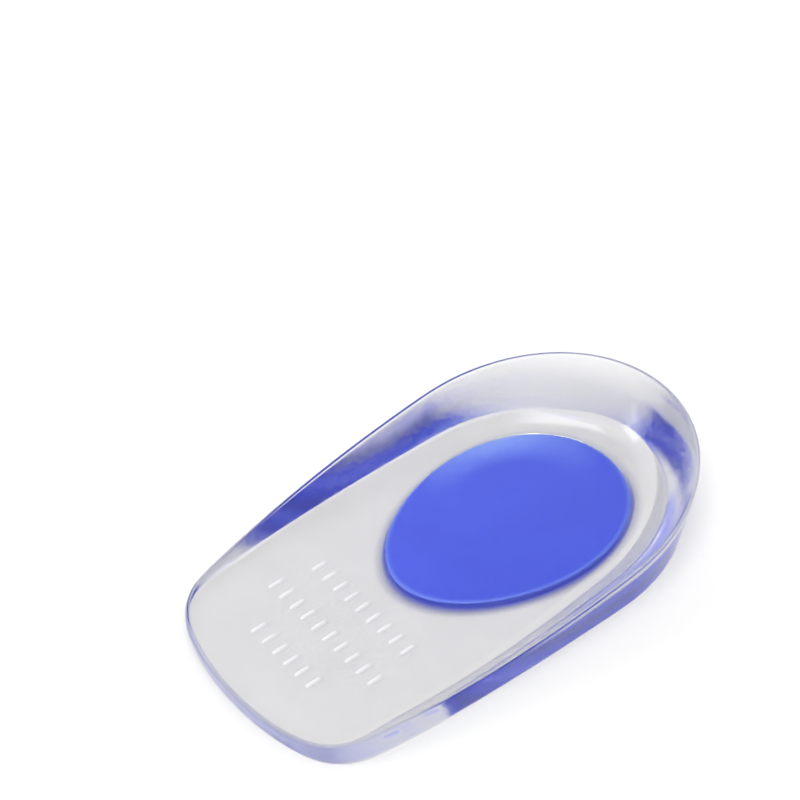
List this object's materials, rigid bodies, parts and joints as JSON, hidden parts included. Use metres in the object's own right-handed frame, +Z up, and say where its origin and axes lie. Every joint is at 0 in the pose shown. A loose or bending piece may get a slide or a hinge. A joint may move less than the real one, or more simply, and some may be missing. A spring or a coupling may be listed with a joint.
{
  "type": "gel heel cup",
  "caption": "Clear gel heel cup for a shoe: a thick flat floor, a wall round the heel that runs out at the toe, and a softer oval gel plug under the heel.",
  "frame": {"origin": "on the flat underside, at the middle of the cup's length and width", "axes": "+Y towards the toes, +Z up, +X to the right seen from the heel"},
  "size_m": [0.0636, 0.11, 0.0174],
  "materials": {
    "clear_gel": "clear glossy gel with a satin floor",
    "blue_gel": "smooth satin blue gel"
  },
  "bodies": {
    "root": {"gel_cup": "clear_gel", "heel_pad": "blue_gel"}
  },
  "joints": []
}
